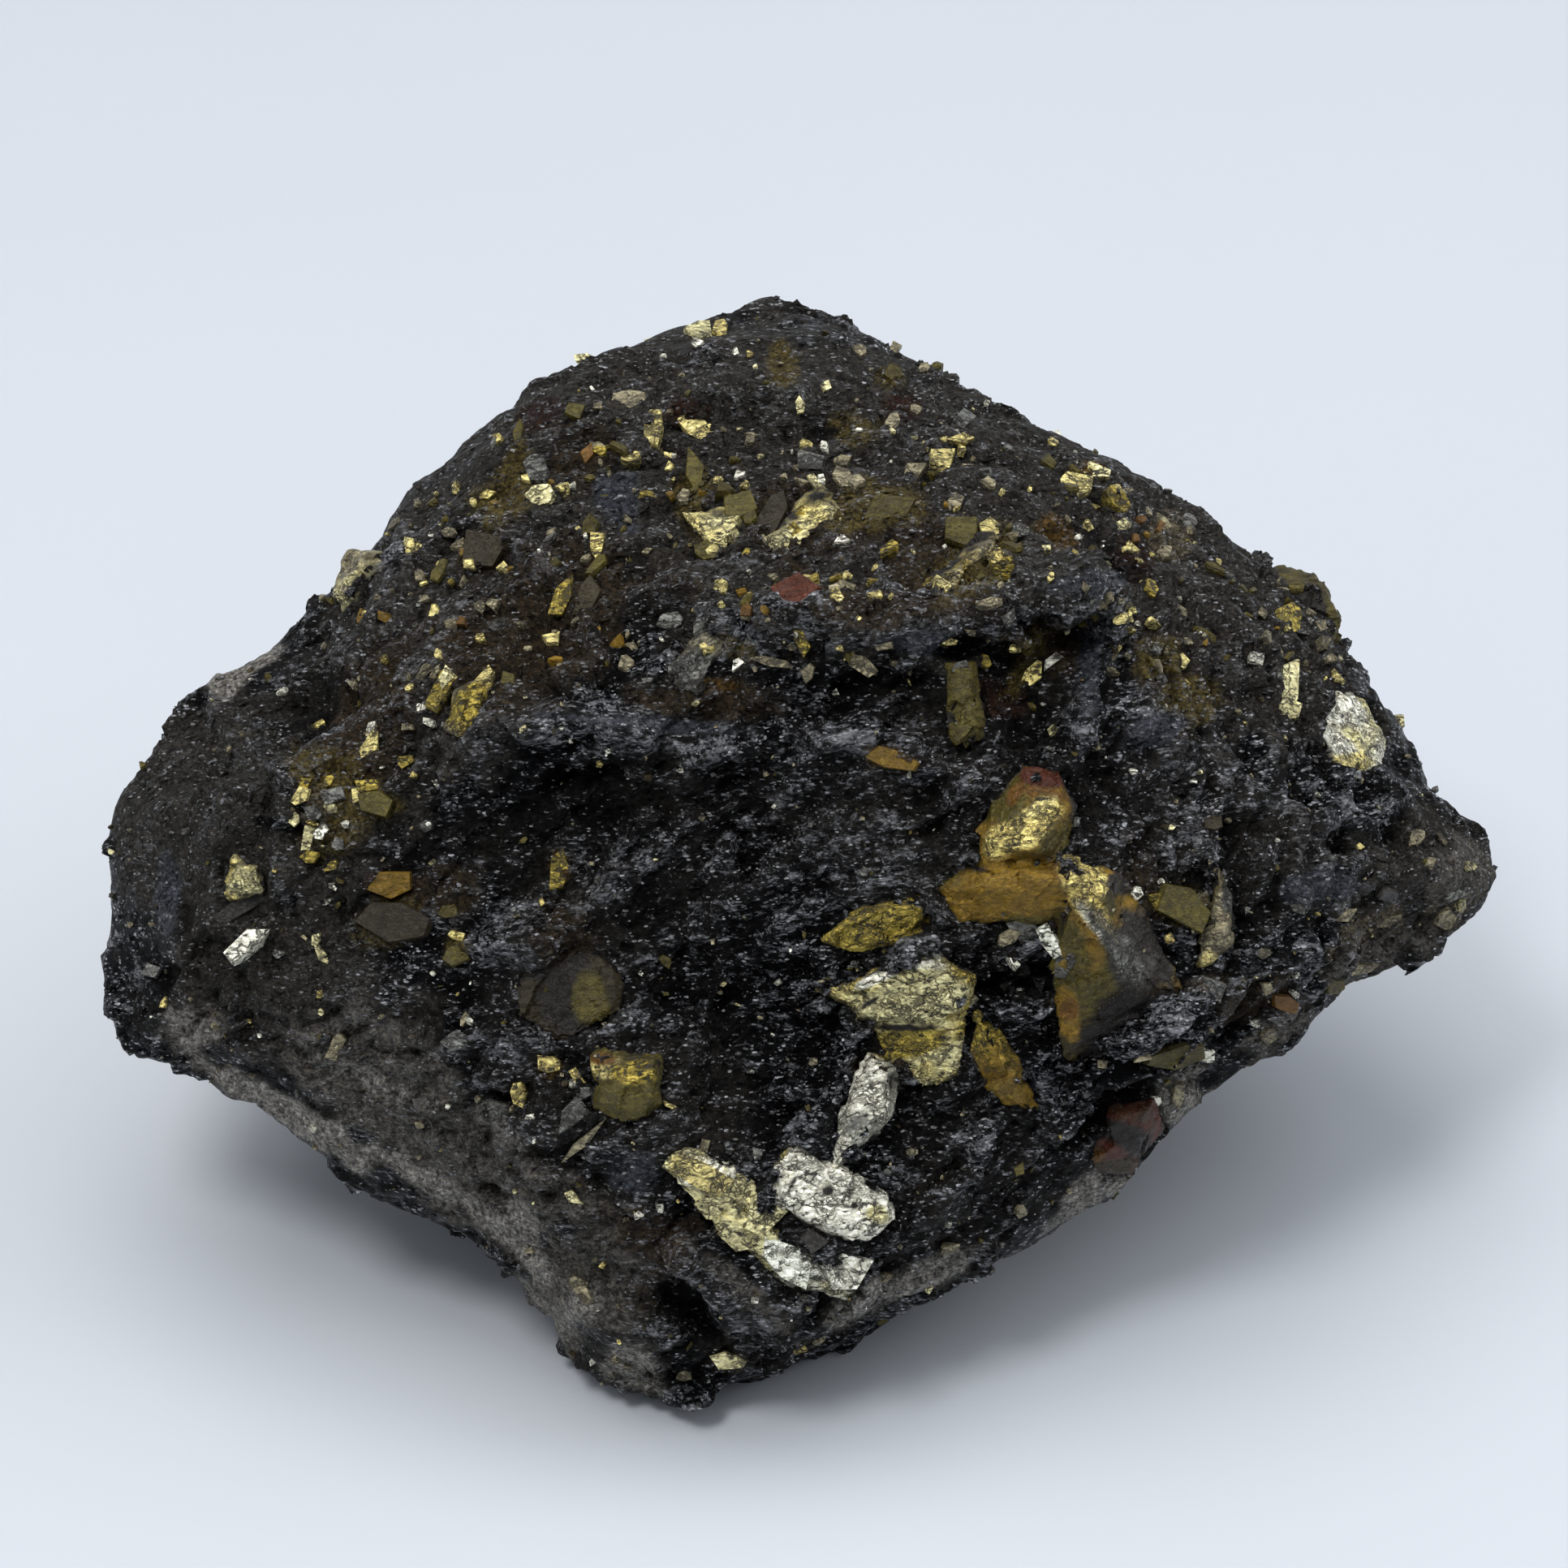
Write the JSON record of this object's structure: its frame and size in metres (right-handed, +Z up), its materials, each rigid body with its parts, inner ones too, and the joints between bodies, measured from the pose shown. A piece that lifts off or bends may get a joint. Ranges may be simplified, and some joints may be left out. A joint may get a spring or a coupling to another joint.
{
  "type": "pyrite specimen",
  "caption": "Rough lump of dark metallic host rock set with brassy, flat-faced pyrite crystals, resting on a small flat spot.",
  "frame": {"origin": "under the middle of the specimen, on the plane that it rests on", "axes": "+X along its width, +Z up, with the show face towards -Y"},
  "size_m": [0.058, 0.0466, 0.0322],
  "materials": {
    "rock": "rough broken, black with fine metallic glints",
    "pyrite_gold": "bright brassy metal, cracked and striated",
    "pyrite_pale": "bright pale silvery gold metal, cracked and striated",
    "pyrite_dull": "dull olive brown metal, tarnished"
  },
  "bodies": {
    "root": {"host_rock": "rock", "wedge_cluster": "pyrite_gold", "scale_blade": "pyrite_gold", "gold_band": "pyrite_gold", "green_block": "pyrite_gold", "upper_bar": "pyrite_gold", "upper_chip": "pyrite_gold", "upper_left_chip": "pyrite_gold", "back_cube": "pyrite_gold", "left_end_chip": "pyrite_gold", "pale_rhomb": "pyrite_pale", "silver_blade": "pyrite_pale", "silver_plate": "pyrite_pale", "right_plate": "pyrite_pale", "grey_prism": "pyrite_pale", "left_rhomb": "pyrite_pale", "back_blade": "pyrite_pale", "olive_tooth": "pyrite_dull", "brown_tablet": "pyrite_dull", "right_blade": "pyrite_dull", "olive_bar": "pyrite_dull", "shoulder_shard": "pyrite_dull", "rim_lump": "pyrite_dull", "right_end_chip": "pyrite_dull"}
  },
  "joints": []
}
